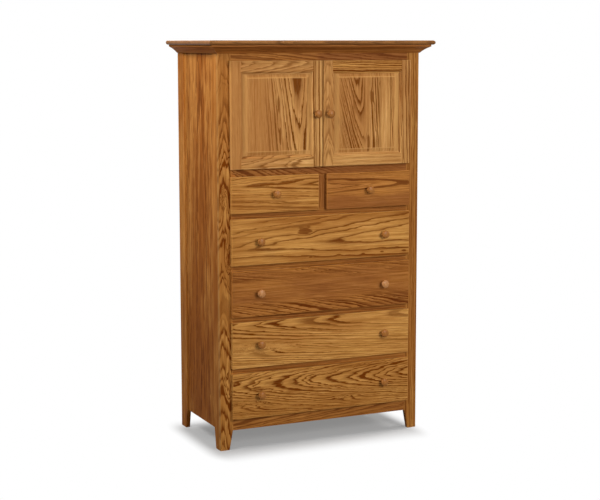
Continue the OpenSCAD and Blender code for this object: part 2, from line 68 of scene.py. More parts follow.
def linear(code):
    """A colour written as #rrggbb, in the linear values that shaders take."""
    parts = [int(code[k:k + 2], 16) / 255 for k in (1, 3, 5)]
    return tuple(p / SRGB_SLOPE if p <= SRGB_END else ((p + SRGB_OFFSET) / (1 + SRGB_OFFSET)) ** SRGB_POWER
                 for p in parts) + (1.0,)


class Graph:
    """A material's or world's nodes, and short calls that add to them. Numbers and sockets mix freely."""

    def __init__(self, collection, name):
        self.owner = collection.new(name)
        self.owner.use_nodes = True
        self.tree = self.owner.node_tree
        self.tree.nodes.clear()

    def node(self, kind, inputs=None, **settings):
        n = self.tree.nodes.new(kind)
        for key, value in settings.items():
            setattr(n, key, value)
        for key, value in (inputs or {}).items():
            if isinstance(value, bpy.types.NodeSocket):
                self.tree.links.new(value, n.inputs[key])
            else:
                n.inputs[key].default_value = value
        return n

    def math(self, op, a, b=0.0, clamp=False):
        return self.node("ShaderNodeMath", {0: a, 1: b}, operation=op, use_clamp=clamp).outputs[0]

    def add(self, a, b):
        return self.math("ADD", a, b)

    def sub(self, a, b):
        return self.math("SUBTRACT", a, b)

    def mul(self, a, b, clamp=False):
        return self.math("MULTIPLY", a, b, clamp)

    def div(self, a, b):
        return self.math("DIVIDE", a, b)

    def least(self, a, b):
        return self.math("MINIMUM", a, b)

    def most(self, a, b):
        return self.math("MAXIMUM", a, b)

    def place(self):
        """The three coordinates of a point on the piece."""
        point = self.node("ShaderNodeTexCoord").outputs["Object"]
        return self.node("ShaderNodeSeparateXYZ", {0: point}).outputs

    def spread(self, u, v, w, scale, seed):
        """The point (u, v, w) scaled along the grain and across it, moved by a seed."""
        point = self.node("ShaderNodeCombineXYZ", {0: u, 1: v, 2: w}).outputs[0]
        factors = (scale[0], scale[1], scale[1])
        scaled = self.node("ShaderNodeVectorMath", {0: point, 1: factors}, operation="MULTIPLY").outputs[0]
        steps = tuple(seed * step for step in SEED_STEPS)
        return self.node("ShaderNodeVectorMath", {0: scaled, 1: steps}, operation="ADD").outputs[0]

    def noise(self, point, detail=3.0, roughness=0.5):
        """Noise between about -0.5 and 0.5."""
        inputs = {"Vector": point, "Scale": 1.0, "Detail": detail, "Roughness": roughness}
        return self.sub(self.node("ShaderNodeTexNoise", inputs).outputs["Fac"], NOISE_MIDDLE)

    def grain_noises(self, u, v, w, seed, table):
        """The noises of a table, one for each of its rows."""
        return [self.noise(self.spread(u, v, w, scale, seed + step), detail, roughness)
                for scale, detail, roughness, step in table.values()]

    def line_noise(self, value, detail=1.0):
        """Noise along one number, between about -0.5 and 0.5."""
        inputs = {"W": value, "Scale": 1.0, "Detail": detail}
        n = self.node("ShaderNodeTexNoise", inputs, noise_dimensions="1D")
        return self.sub(n.outputs["Fac"], NOISE_MIDDLE)

    def unit(self, noise):
        """The same noise between about 0 and 1."""
        return self.add(noise, NOISE_MIDDLE)

    def ramp(self, value, stops, warm=False):
        """stops are (place, number) pairs; the ramp's grey levels are the numbers. A warm ramp's
        dark end is redder and its light end paler, as stain takes on wood."""
        n = self.node("ShaderNodeValToRGB", {"Fac": value})
        marks = n.color_ramp.elements
        while len(marks) < len(stops):
            marks.new(0.5)
        for mark, (place, level) in zip(marks, stops):
            mark.position = place
            mark.color = tuple(level ** power if warm else level for power in WARM_POWERS) + (1.0,)
        return n.outputs["Color"]

    def mix(self, share, a, b, kind="MIX"):
        inputs = {MIX_SHARE: share, MIX_A: a, MIX_B: b}
        return self.node("ShaderNodeMix", inputs, data_type="RGBA", blend_type=kind).outputs[MIX_OUT]

    def finish(self, colour, rough, height, bump, **fixed):
        """Ends the graph in a Principled shader. bump is how high the height's unit is, and fixed
        holds what is the same all over."""
        raised = self.node("ShaderNodeBump", {"Height": height, "Strength": 1.0, "Distance": bump})
        inputs = {"Base Color": colour, "Roughness": rough, "Normal": raised.outputs[0]}
        inputs.update(fixed)
        shader = self.node("ShaderNodeBsdfPrincipled", inputs)
        self.node("ShaderNodeOutputMaterial", {"Surface": shader.outputs[0]})
        return self.owner


# Stained oak. A board is cut out of a trunk of noisy, leaning growth rings, so its faces show
# arches where they pass near the pith and straight lines elsewhere, and its ends show rings.

# Each stain's light wood, darker wood and lines
STAINS = {
    "gold": ("#c38c47", "#a2692e", "#6a3001"),
    "honey": ("#cb954e", "#a96f33", "#6a3001"),
    "tan": ("#cb9858", "#aa733c", "#6f390a"),
    "brown": ("#b07334", "#8f5728", "#602b05"),
    "side": ("#c68641", "#96551b", "#5a2604"),
    "dark": ("#a8692f", "#884d1f", "#522808"),
    # A lighter copy of the dark stain for the crown's down-facing sides, as painted light
    "crown": ("#c47c36", "#a05f24", "#5e3008"),
    "edge": ("#8d5c2d", "#70471e", "#42230b"),
    "knob": ("#a86c30", "#895523", "#5c3010"),
    "knob_pale": ("#c18853", "#a36b3b", "#704121"),
    "veneer": ("#cfa870", "#b78d56", "#8c6233"),
}
# Ramps that leave the lines as they are, and that add no brown
FLAT = ((0.0, 1.0), (1.0, 1.0))
NO_SHADE = ((0.0, 0.0), (1.0, 0.0))
# Noises: how many waves there are in a metre along and across the grain, detail, roughness, and
# how far the seed is moved for each
OAK_NOISES = {
    "slow": ((2.3, 7.0), 2.0, 0.5, 0.0),
    "middle": ((8.0, 34.0), 2.0, 0.55, 3.1),
    "flame": ((13.0, 95.0), 3.0, 0.6, 5.3),
    "streak": ((9.0, 260.0), 4.0, 0.7, 7.7),
    "fine": ((45.0, 1500.0), 2.0, 0.6, 11.3),
    "drawn": ((2.6, 105.0), 2.0, 0.6, 13.9),
}
# How much the slow and the middle noise bend the figure, the middle one breaks it into loops, and
# the streak and the flame noise fray its lines
SLOW_SWAY, MIDDLE_SWAY, MIDDLE_LOOPS, STREAK_JAG, FLAME_JAG = 4.5, 1.5, 2.0, 0.9, 1.7
# Distance from the pith at which a flared figure's lines are as far apart as ring says
EVEN_RINGS = 0.06
# How frayed a knot is, and how near its middle the dark heart starts and is full
KNOT_FRAY, HEART_START, HEART_FULL = 3.0, 0.42, 0.62
# Rings crowd and spread by WANDER, over a few of them. Each line has a weight of its own.
WANDER_PACE, WANDER_DETAIL, WANDER = 0.42, 2.0, 2.4
LINE_WEIGHT, WEIGHT_RANGE, LEAST_WEIGHT = 1.1, 2.6, 0.12
# How much noise breaks the lines' strength, and moves the places where strength and tone change
STREAK_BREAKS, ACROSS_WOBBLE, ALONG_WOBBLE = 1.6, 0.16, 0.2
# How much darker wood there is, from the slow and the flame noise and everywhere, and its limits
SLOW_PATCHES, FLAME_PATCHES, EVEN_PATCH, LEAST_PATCH, MOST_PATCH = 2.0, 0.9, 0.42, -0.1, 1.25
# How streaks, drawn-out lines and pores darken and lighten the wood
STREAK_TONES = ((0.28, 0.48), (0.44, 0.92), (0.56, 1.04), (0.72, 1.35))
DRAWN_TONES = ((0.30, 0.55), (0.44, 0.91), (0.56, 1.06), (0.70, 1.36))
PORE_TONES = ((0.36, 0.55), (0.48, 1.0))
STREAK_SHARE, PORE_SHARE, LINE_PORES = 0.9, 0.25, 0.5
# Edges are lighter, partly stain worn thin and partly a painted highlight, and a raised field's arris
# has a painted highlight: how much, by centimetres from an edge and from the arris, how many metres
# noise moves that by, and the light wood's share where it is 1
CENTIMETRES = 100.0
EDGE_WEAR_AND_HIGHLIGHT = ((0.0, 1.0), (0.12, 0.9), (0.38, 0.0))
ARRIS_HIGHLIGHT = ((0.1, 1.5), (0.38, 0.0))
EDGE_WOBBLE, WEAR_AND_HIGHLIGHT_SHARE = 0.003, 0.32
# A raised field's bevels reach to BEVEL_REACH in these: calm lines at the board's ends, and a painted
# highlight at its sides. Only the part of the thickness near the face is sloped.
BEVEL_REACH = 0.5
CALM_BEVELS = ((0.0, 0.2), (0.45, 0.2), (0.53, 1.0))
BEVEL_HIGHLIGHT = ((0.2, 1.0), (0.44, 1.4), (0.52, 1.6), (0.62, 0.0))
SLOPED_PART = 0.6
# How much streaks and lines change the roughness, how much pores and lines change the height, and
# how many metres of height 1 is
STREAK_ROUGH, LINE_ROUGH = 0.12, 0.08
PORE_HEIGHT, LINE_HEIGHT, OAK_BUMP = 0.6, -0.5, 0.00012
OAK_IOR = 1.45


def ring_tones(thin):
    """How dark the wood is through one ring. The dark line takes up about the share thin of it."""
    return ((0.0, 0.4), (0.05, 1.0), (0.05 + 0.4 * thin, 0.9), (0.05 + 0.8 * thin, 0.35),
            (0.1 + 1.3 * thin, 0.0), (0.94, 0.0), (1.0, 0.35))


def oak(name, box, axes, face=-1, pith=0.5, deep=0.03, ring=0.006, tips=-0.05, tilt=0.0, flare=1.0,
        thin=0.4, layers=1.0, turn=0.0, sway=0.006, wild=0.0, jag=0.5, stain="gold", contrast=1.0,
        mottle=0.4, lines=0.6, arris=0.0, sheen=0.5, specular=0.04, seed=1.0, strong=FLAT, fade=FLAT,
        shade=NO_SHADE, drift=NO_SHADE, knots=()):
    """The material of an oak board.

    axes: the axes along the grain, across the face and into it
    face: which end of the box shows, -1 or 1
    pith: where the middle of the arches lies across the board, as a share
    deep: how far the pith lies behind the face
    ring: how far apart the lines are
    tips: how far apart the arches' tips are along the grain, less than 0 where they point to the low end
    tilt: how much the figure leans
    flare: over 1, it rounds the arches and crowds the lines beside them
    thin: the dark line's share of a ring
    layers: how fast the figure changes with depth
    turn: how far the lines are moved, as a share of a ring
    sway, wild, jag: how much the figure bends, how much it breaks into loops, how frayed its lines are
    stain: one of STAINS
    contrast: how much the lines show
    mottle, lines: the weights of short patches, and of fine straight lines over it all
    arris: how far a raised field's edge is from the board's, or 0
    sheen, specular: how rough the surface is, and how strong its reflections
    strong, fade: how much the lines show across the board, and along it
    shade, drift: how brown the wood between them is across the board, and along it; on the
    side boards the drift is painted shade, darker towards the bottom
    knots: (along, across, half length, half height, rings, dark heart), the first two as shares
    """
    g = Graph(bpy.data.materials, name)
    lo, hi = box
    along, across, into = ("xyz".index(a) for a in axes)
    width = hi[across] - lo[across]
    length = hi[along] - lo[along]
    place = g.place()
    u = g.sub(place[along], lo[along])
    rise = g.sub(place[across], lo[across])
    v = g.sub(rise, pith * width)
    w = g.sub(place[into], lo[into] if face < 0 else hi[into])
    w = g.add(g.mul(w, layers), deep * face)
    slow, middle, flame, streak, fine, drawn = g.grain_noises(u, v, w, seed, OAK_NOISES)

    # The number of the ring at each point, and the knots that push it aside
    swayed = g.add(g.mul(slow, SLOW_SWAY * sway), g.mul(middle, MIDDLE_SWAY * sway))
    bent = g.add(g.add(v, g.mul(u, tilt)), swayed)
    radius = g.math("SQRT", g.add(g.mul(bent, bent), g.mul(w, w)))
    if flare != 1.0:
        radius = g.mul(g.math("POWER", g.mul(radius, 1.0 / EVEN_RINGS), flare), EVEN_RINGS)
    radius = g.add(g.add(radius, g.mul(u, ring / tips)), g.mul(middle, MIDDLE_LOOPS * wild))
    frayed = g.add(g.mul(streak, STREAK_JAG * jag), g.mul(flame, FLAME_JAG * jag))
    rings = g.add(g.add(g.div(radius, ring), frayed), seed + turn)
    blot = 0.0
    for knot_u, knot_v, half_length, half_height, turns, heart in knots:
        du = g.div(g.sub(u, knot_u * length), half_length)
        dv = g.div(g.sub(rise, knot_v * width), half_height)
        away = g.add(g.add(g.mul(du, du), g.mul(dv, dv)), g.mul(flame, KNOT_FRAY))
        near = g.math("EXPONENT", g.mul(away, -1.0))
        rings = g.add(rings, g.mul(near, turns))
        blot = g.add(blot, g.ramp(near, ((HEART_START, 0.0), (HEART_FULL, heart))))
    rings = g.add(rings, g.mul(g.line_noise(g.mul(rings, WANDER_PACE), WANDER_DETAIL), WANDER))

    # How dark the line is at each point
    band = g.ramp(g.math("FRACT", rings), ring_tones(thin))
    weight = g.add(LINE_WEIGHT, g.mul(g.line_noise(g.add(g.math("FLOOR", rings), seed)), WEIGHT_RANGE))
    band = g.mul(band, g.most(weight, LEAST_WEIGHT), clamp=True)
    across_share = g.add(g.div(rise, width), g.mul(middle, ACROSS_WOBBLE))
    along_share = g.add(g.div(u, length), g.mul(middle, ALONG_WOBBLE))
    shown = g.mul(g.ramp(across_share, strong), g.ramp(along_share, fade))
    band = g.mul(band, g.mul(shown, contrast), clamp=True)
    band = g.mul(band, g.add(1.0, g.mul(streak, STREAK_BREAKS)), clamp=True)
    from_end = g.least(u, g.sub(length, u))
    if arris:
        band = g.mul(band, g.ramp(g.mul(from_end, BEVEL_REACH / arris), CALM_BEVELS))
    if knots:
        band = g.most(band, blot)

    # The wood's colour, from the patches to the pores
    light, middle_tone, deep_tone = (linear(code) for code in STAINS[stain])
    browner = g.add(g.add(g.ramp(across_share, shade), g.ramp(along_share, drift)), EVEN_PATCH)
    patches = g.add(g.add(g.mul(slow, SLOW_PATCHES), g.mul(flame, FLAME_PATCHES)), browner)
    patches = g.add(patches, g.mul(middle, mottle))
    body = g.mix(g.least(g.most(patches, LEAST_PATCH), MOST_PATCH), light, middle_tone)
    colour = g.mix(band, body, deep_tone)
    colour = g.mix(STREAK_SHARE, colour, g.ramp(g.unit(streak), STREAK_TONES, warm=True), "MULTIPLY")
    colour = g.mix(lines, colour, g.ramp(g.unit(drawn), DRAWN_TONES, warm=True), "MULTIPLY")
    pores = g.ramp(g.unit(fine), PORE_TONES)
    colour = g.mix(g.add(PORE_SHARE, g.mul(band, LINE_PORES)), colour, pores, "MULTIPLY")

    # Lighter edges, partly stain worn thin and partly a painted highlight
    from_side = g.least(rise, g.sub(width, rise))
    from_edge = g.least(from_end, from_side)
    wear_and_highlight = g.ramp(g.mul(g.add(from_edge, g.mul(streak, EDGE_WOBBLE)), CENTIMETRES), EDGE_WEAR_AND_HIGHLIGHT)
    # Painted highlight on a raised field's side bevels and along its arris
    if arris:
        from_arris = g.math("ABSOLUTE", g.sub(from_edge, arris))
        bevel_highlight = g.ramp(g.mul(from_side, BEVEL_REACH / arris), BEVEL_HIGHLIGHT)
        painted_highlight = g.most(bevel_highlight, g.ramp(g.mul(from_arris, CENTIMETRES), ARRIS_HIGHLIGHT))
        under_face = g.sub(place[into], lo[into]) if face < 0 else g.sub(hi[into], place[into])
        sloped = g.math("LESS_THAN", under_face, SLOPED_PART * (hi[into] - lo[into]))
        wear_and_highlight = g.most(wear_and_highlight, g.mul(painted_highlight, sloped))
    colour = g.mix(g.mul(wear_and_highlight, WEAR_AND_HIGHLIGHT_SHARE), colour, light)

    rough = g.add(sheen, g.add(g.mul(streak, STREAK_ROUGH), g.mul(band, LINE_ROUGH)))
    height = g.add(g.mul(pores, PORE_HEIGHT), g.mul(band, LINE_HEIGHT))
    return g.finish(colour, rough, height, OAK_BUMP, **{"IOR": OAK_IOR, "Specular IOR Level": specular})


def dress(node, material):
    """Gives a CAD node its material."""
    for slot in NODES[node].material_slots:
        slot.material = material


# How each board was cut from its log, after the pattern that the photo shows on it
FRONT_BOARDS = {
    "drawer_4_front": dict(
        axes="xzy", pith=0.70, deep=0.016, ring=0.0135, tips=-0.070, flare=1.38, thin=0.34,
        sway=0.012, wild=0.010, jag=0.6, contrast=1.25, lines=0.7, seed=4.2,
        strong=((0.0, 0.7), (0.3, 0.75), (0.42, 1.0), (0.75, 1.0), (0.95, 0.7)),
        shade=((0.0, 0.0), (0.35, -0.1), (0.5, -0.6), (1.0, -0.5)),
        knots=((0.12, 0.62, 0.050, 0.014, -1.0, 0.5), (0.06, 0.30, 0.10, 0.020, 2.2, 0.0),
               (0.62, 0.26, 0.08, 0.014, 1.8, 0.0))),
    "drawer_3_front": dict(
        axes="xzy", pith=0.93, deep=0.012, ring=0.016, tips=-0.13, flare=1.25, thin=0.36,
        sway=0.007, wild=0.003, jag=0.4, stain="honey", contrast=1.0, lines=0.6, seed=9.4,
        strong=((0.0, 0.8), (0.3, 1.0), (0.45, 0.6), (0.6, 0.8), (0.85, 1.0)),
        fade=((0.0, 1.0), (0.55, 1.0), (0.74, 0.5), (1.0, 0.6)),
        shade=((0.0, -0.2), (0.12, -0.8), (0.9, -0.9), (1.0, -0.2)),
        drift=((0.0, 0.0), (0.5, -0.3)),
        knots=((0.10, 0.42, 0.20, 0.020, 3.4, 0.0),)),
    "drawer_2_front": dict(
        axes="xzy", pith=-0.16, deep=0.07, ring=0.0085, tips=0.062, thin=0.5,
        sway=0.008, stain="brown", lines=0.8, seed=2.7,
        strong=((0.0, 1.0), (0.2, 1.0), (0.32, 0.2), (0.72, 0.15), (0.84, 0.8)),
        shade=((0.0, -0.8), (0.2, -0.4), (0.36, 0.3), (0.8, 0.3), (1.0, -0.6)),
        drift=((0.0, 0.1), (0.6, -0.1))),
    "drawer_1_front": dict(
        axes="xzy", pith=0.30, deep=0.012, ring=0.028, tips=-0.36, tilt=-0.045, thin=0.2,
        sway=0.009, wild=0.004, jag=0.22, lines=0.75, seed=6.1,
        strong=((0.0, 0.9), (0.4, 1.0), (1.0, 0.8)),
        fade=((0.0, 0.6), (0.25, 0.8), (0.5, 1.0)),
        shade=((0.0, 0.5), (0.25, 0.1), (0.7, -0.2), (1.0, 0.5)),
        knots=((0.40, 0.66, 0.040, 0.017, 1.2, 0.8), (0.43, 0.10, 0.012, 0.005, 0.2, 0.8),
               (0.59, 0.10, 0.014, 0.005, 0.2, 0.8), (0.73, 0.09, 0.012, 0.005, 0.2, 0.8),
               (0.84, 0.11, 0.010, 0.004, 0.2, 0.8), (0.97, 0.10, 0.016, 0.006, 0.2, 0.8))),
    "small_drawer_left_front": dict(
        axes="xzy", pith=0.73, deep=0.006, ring=0.012, tips=-0.17, thin=0.40,
        wild=0.004, jag=0.5, contrast=0.8, seed=12.5,
        strong=((0.0, 0.8), (0.5, 0.9), (0.7, 1.0)),
        shade=((0.5, 0.4), (0.6, 0.1)),
        knots=((0.62, 0.80, 0.055, 0.010, 0.5, 0.8),)),
    "small_drawer_right_front": dict(
        axes="xzy", pith=0.64, deep=0.006, ring=0.010, tips=0.16, thin=0.36,
        wild=0.002, jag=0.4, stain="brown", contrast=0.8, seed=15.8,
        strong=((0.0, 0.15), (0.34, 0.2), (0.5, 1.0)),
        shade=((0.3, 0.8), (0.42, 0.1), (0.8, 0.0)),
        knots=((0.93, 0.66, 0.040, 0.012, 0.6, 0.8),)),
    "left_door_panel": dict(
        axes="zxy", pith=0.827, deep=0.006, ring=0.0265, tips=-0.16, tilt=0.04, flare=1.6, thin=0.38,
        layers=0.2, turn=-0.3,
        sway=0.007, wild=0.007, jag=0.45, stain="tan", mottle=1.3, lines=0.45, arris=0.0245, seed=21.3,
        strong=((0.0, 0.15), (0.32, 0.2), (0.44, 0.7), (0.56, 0.9), (0.7, 1.0), (1.0, 1.0)),
        shade=((0.06, 0.2), (0.25, 0.9), (0.4, 0.65), (0.6, 0.15), (0.8, -0.15)),
        knots=((0.62, 0.52, 0.045, 0.006, 0.4, 0.8), (0.25, 0.54, 0.040, 0.006, 0.4, 0.8))),
    "right_door_panel": dict(
        axes="zxy", pith=0.50, deep=0.006, ring=0.0165, tips=-0.0825, tilt=0.16, flare=1.6, thin=0.42,
        layers=0.2,
        sway=0.006, wild=0.003, jag=0.35, stain="tan", contrast=1.35, lines=0.45, arris=0.0245,
        seed=24.9,
        strong=((0.06, 0.1), (0.2, 0.7), (0.42, 0.9), (0.49, 0.3), (0.54, 0.3), (0.57, 1.0),
                (0.64, 0.9), (0.68, 0.35), (0.74, 0.1), (0.84, 0.1), (0.87, 1.0), (0.9, 0.1)),
        shade=((0.1, 0.3), (0.3, 0.6), (0.46, 0.4), (0.55, 0.0), (0.64, -0.7), (0.84, -0.8),
               (0.93, -0.2)),
        drift=((0.5, -0.2), (0.9, 0.4)),
        knots=((0.70, 0.57, 0.035, 0.012, 0.8, 0.8), (0.12, 0.52, 0.045, 0.008, 0.4, 0.8),
               (0.45, 0.69, 0.5, 0.0022, 0.0, 0.7), (0.5, 0.85, 0.6, 0.0022, 0.0, 0.7))),
    "left_door_hinge_stile": dict(
        axes="zxy", pith=-1.0, ring=0.014, tips=0.7,
        stain="tan", contrast=0.15, mottle=1.4, lines=0.25, seed=31.0,
        shade=((0.0, 1.0), (1.0, 1.0))),
    "left_door_lock_stile": dict(
        axes="zxy", pith=-2.0, ring=0.014, tips=2.5, thin=0.5,
        sway=0.003, jag=0.25, stain="tan", contrast=1.1, seed=33.0),
    "right_door_lock_stile": dict(
        axes="zxy", pith=0.45, ring=0.008, tips=0.07,
        stain="tan", contrast=0.5, seed=35.0),
    "right_door_hinge_stile": dict(
        axes="zxy", pith=-1.5, ring=0.013, tips=0.9, thin=0.45,
        jag=0.3, stain="tan", contrast=1.0, seed=37.0,
        shade=((0.0, -0.3), (1.0, -0.3))),
    "left_door_top_rail": dict(
        axes="xzy", pith=0.9, ring=0.008, tips=0.08,
        wild=0.006, stain="tan", contrast=0.6, seed=41.0),
    "left_door_bottom_rail": dict(
        axes="xzy", pith=0.2, ring=0.012, tips=-0.09,
        wild=0.004, stain="tan", contrast=0.7, seed=43.0),
    "right_door_top_rail": dict(
        axes="xzy", pith=-1.0, ring=0.009, tips=0.5,
        stain="gold", seed=45.0),
    "right_door_bottom_rail": dict(
        axes="xzy", pith=3.0, ring=0.016, tips=0.9,
        stain="tan", contrast=0.3, seed=47.0),
    "front_stile_left": dict(
        axes="zxy", pith=0.34, deep=0.005, ring=0.021, tips=0.070, tilt=-0.010, flare=1.2, thin=0.38,
        sway=0.017, wild=0.018, jag=0.6, contrast=1.3, mottle=1.5, lines=0.6, seed=49.4,
        fade=((0.0, 1.0), (0.27, 0.95), (0.32, 0.35), (0.40, 0.35), (0.45, 1.0), (0.68, 1.0),
              (0.84, 0.4)),
        shade=((0.0, 0.4), (0.6, -0.2), (1.0, 0.2)),
        drift=((0.0, -0.35), (0.38, -0.3), (0.48, 0.2), (0.66, 0.3), (0.84, 0.7)),
        knots=((0.48, 0.70, 0.060, 0.014, 3.2, 0.0), (0.63, 0.35, 0.050, 0.012, -2.2, 0.0),
               (0.17, 0.60, 0.070, 0.014, 2.4, 0.0))),
    "front_stile_right": dict(
        axes="zxy", pith=-2.5, ring=0.012, tips=0.8,
        stain="gold", contrast=0.6, mottle=1.2, lines=0.95, seed=53.0,
        shade=((0.0, 0.6), (1.0, 0.4))),
    "top_rail": dict(
        axes="xzy", pith=0.8, ring=0.012, tips=-0.15,
        wild=0.004, stain="brown", contrast=0.7, seed=55.0,
        drift=((0.0, -0.4), (0.42, -0.2), (0.52, 1.1))),
    "door_rail": dict(
        axes="xzy", pith=-0.2, deep=0.05, ring=0.008, tips=0.04,
        stain="brown", contrast=0.8, seed=57.0,
        fade=((0.0, 1.0), (0.5, 0.9), (0.64, 0.2)),
        shade=((0.0, 0.3), (1.0, 0.3)),
        drift=((0.5, 0.0), (0.64, 0.5))),
    "drawer_rails": dict(
        axes="xzy", pith=-0.3, ring=0.009, tips=0.5,
        stain="brown", contrast=0.6, seed=59.0),
    "bottom_rail": dict(
        axes="xzy", pith=0.9, ring=0.008, tips=0.12,
        stain="brown", contrast=0.7, seed=61.0),
    "drawer_divider": dict(
        axes="zxy", pith=-2.0, ring=0.010, tips=0.8,
        stain="brown", contrast=0.4, seed=63.0,
        shade=((0.0, 0.25), (1.0, 0.25))),
    "crown_front": dict(
        axes="xzy", pith=-2.0, ring=0.009, tips=0.9,
        stain="dark", contrast=0.5, seed=65.0),
    "top_board": dict(
        axes="xyz", face=1, pith=0.45, deep=0.02, ring=0.016, tips=0.11, flare=1.4, thin=0.4,
        wild=0.004, stain="edge", contrast=0.75, sheen=0.45, specular=0.1, seed=67.0),
}
# The same for pieces that there is a left and a right one of
SIDE_BOARDS = {
    "side_panel": dict(
        axes="zyx", pith=0.45, deep=0.05, ring=0.015, tips=0.42, thin=0.42,
        sway=0.014, wild=0.004, jag=0.8, stain="side", contrast=0.62, mottle=1.7, lines=1.0,
        specular=0.015, seed=71.0,
        shade=((0.0, -0.5), (0.16, -0.4), (0.27, 0.2), (0.4, 0.6), (0.7, 0.3), (0.9, -0.1)),
        # The drift is painted shade: the panel darker and browner towards the bottom
        drift=((0.0, 0.4), (0.35, 0.15), (0.55, 0.0), (0.8, -0.25))),
    "side_stile_front": dict(
        axes="zyx", pith=-1.2, ring=0.018, tips=0.9,
        stain="side", contrast=0.4, mottle=1.2, specular=0.015, seed=73.0,
        shade=((0.0, 0.3), (1.0, 0.3))),
    "side_stile_rear": dict(
        axes="zyx", pith=-0.8, ring=0.020, tips=0.9,
        stain="side", contrast=0.35, mottle=1.2, specular=0.015, seed=75.0,
        shade=((0.0, -0.4), (1.0, -0.4)),
        # The drift is painted shade: the stile darker and browner towards the bottom
        drift=((0.0, 0.5), (0.35, 0.2), (0.6, -0.2), (1.0, -0.1))),
    "crown": dict(
        axes="yzx", pith=-2.0, ring=0.009, tips=0.9,
        # The crown stain is painted light, lighter than the crown front's to offset the sides' shade
        stain="crown", contrast=0.5, specular=0.015, seed=77.0),
}
# How far the seeds of a left and a right piece are from the table's
SIDE_SEED = 0.7
for node, cut in FRONT_BOARDS.items():
    dress(node, oak("oak_" + node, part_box(node), **cut))
for part, cut in SIDE_BOARDS.items():
    for side, face in (("left", -1), ("right", 1)):
        node = "%s_%s" % (part, side)
        changed = dict(cut, seed=cut["seed"] + face * SIDE_SEED)
        dress(node, oak("oak_" + node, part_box(node), face=face, **changed))
dress("back_panel", oak("veneer_back_panel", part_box("back_panel"), axes="zxy", face=1, pith=0.38,
                        deep=0.03, ring=0.022, tips=0.13, flare=1.3, thin=0.45, sway=0.012, wild=0.006,
                        jag=0.6, stain="veneer", contrast=0.55, lines=0.5, seed=8.1))

# Knobs are turned with the grain along their own axis, so their faces show small rings. These are
# their stains and seeds.
KNOBS = {
    "left_door_knob": ("knob", 95.0),
    "right_door_knob": ("knob", 96.0),
    "small_drawer_left_knob": ("knob", 103.0),
    "small_drawer_right_knob": ("knob", 104.0),
    "drawer_1_knobs": ("knob", 95.0),
    "drawer_2_knobs": ("knob_pale", 95.0),
    "drawer_3_knobs": ("knob", 95.0),
    "drawer_4_knobs": ("knob", 95.0),
}
for node, (stain, seed) in KNOBS.items():
    dress(node, oak("oak_" + node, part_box(node), axes="yxz", pith=-0.4, ring=0.004, tips=0.2, sway=0.001,
                    stain=stain, contrast=0.45, sheen=0.22, specular=0.12, seed=seed))

# Inside: pale lacquered drawer boxes and plywood

BOX_WALL = 0.012
# The side walls are taken to be a little thicker than they are, so that their inner faces count too
WALL_REACH = 1.02
# Dovetail pins: about how far apart they are, half their width at the box's end, and how much more
# that is a wall's thickness from the end
PIN_PITCH, PIN_HALF, PIN_FLARE = 0.035, 0.003, 0.002
PIN_WOOD, PIN_SHARE = "#9c6f3c", 0.8
# Light wood and darker wood
BOX_WOOD = ("#e0c69a", "#c9a673")
PLY_WOOD = ("#d8bb8c", "#bd9664")
PALE_NOISES = {
    "slow": ((1.6, 14.0), 4.0, 0.55, 0.0),
    "streak": ((9.0, 190.0), 3.0, 0.6, 5.0),
    "fine": ((60.0, 1700.0), 2.0, 0.5, 9.0),
}
# How much darker wood there is, from the slow and the streak noise and everywhere
PALE_PATCHES, PALE_STREAKS, PALE_EVEN = 2.2, 0.9, 0.45
PALE_PORES, PALE_PORE_SHARE = ((0.35, 0.86), (0.5, 1.0)), 0.5
PALE_ROUGH, PALE_BUMP, PALE_IOR = 0.5, 0.00015, 1.48


def side_walls(g, x, y, z, box):
    """The grain's directions in a dovetailed box, and where its pins show their end grain. The
    side walls have their grain from front to back, and the pins come through at their ends."""
    lo, hi = box
    off = g.math("ABSOLUTE", g.sub(x, (lo[0] + hi[0]) / 2))
    side = g.math("GREATER_THAN", off, (hi[0] - lo[0]) / 2 - WALL_REACH * BOX_WALL)
    swap = g.mul(side, g.sub(y, x))
    height = hi[2] - lo[2]
    pitch = height / round(height / PIN_PITCH)
    step = g.math("FRACT", g.mul(g.sub(z, lo[2]), 1 / pitch))
    from_pin = g.mul(g.sub(0.5, g.math("ABSOLUTE", g.sub(step, 0.5))), pitch)
    from_corner = g.least(g.sub(y, lo[1]), g.sub(hi[1], y))
    half_pin = g.add(g.mul(from_corner, PIN_FLARE / BOX_WALL), PIN_HALF)
    pin = g.mul(g.math("LESS_THAN", from_pin, half_pin), g.math("LESS_THAN", from_corner, BOX_WALL))
    return g.add(x, swap), z, g.sub(y, swap), g.mul(pin, side)


def pale_wood(name, box, axes, light, dark, seed, walls=False):
    """The material of unstained wood. axes names the axes along the grain, across it and through the
    board. walls says that it is a dovetailed box with walls in both directions."""
    g = Graph(bpy.data.materials, name)
    place = g.place()
    u, v, w = (place["xyz".index(a)] for a in axes)
    end_grain = 0.0
    if walls:
        u, v, w, end_grain = side_walls(g, *place, box)
    slow, streak, fine = g.grain_noises(u, v, w, seed, PALE_NOISES)
    patches = g.add(g.add(g.mul(slow, PALE_PATCHES), g.mul(streak, PALE_STREAKS)), PALE_EVEN)
    colour = g.mix(g.least(g.most(patches, 0.0), 1.0), linear(light), linear(dark))
    colour = g.mix(g.mul(end_grain, PIN_SHARE), colour, linear(PIN_WOOD))
    colour = g.mix(PALE_PORE_SHARE, colour, g.ramp(g.unit(fine), PALE_PORES), "MULTIPLY")
    rough = g.add(PALE_ROUGH, g.mul(streak, STREAK_ROUGH))
    return g.finish(colour, rough, g.add(streak, fine), PALE_BUMP, **{"IOR": PALE_IOR})


BOX_SEEDS = {"drawer_1_box": 30.13, "drawer_2_box": 30.5, "drawer_3_box": 30.87, "drawer_4_box": 31.24,
             "small_drawer_left_box": 63.18, "small_drawer_right_box": 64.18}
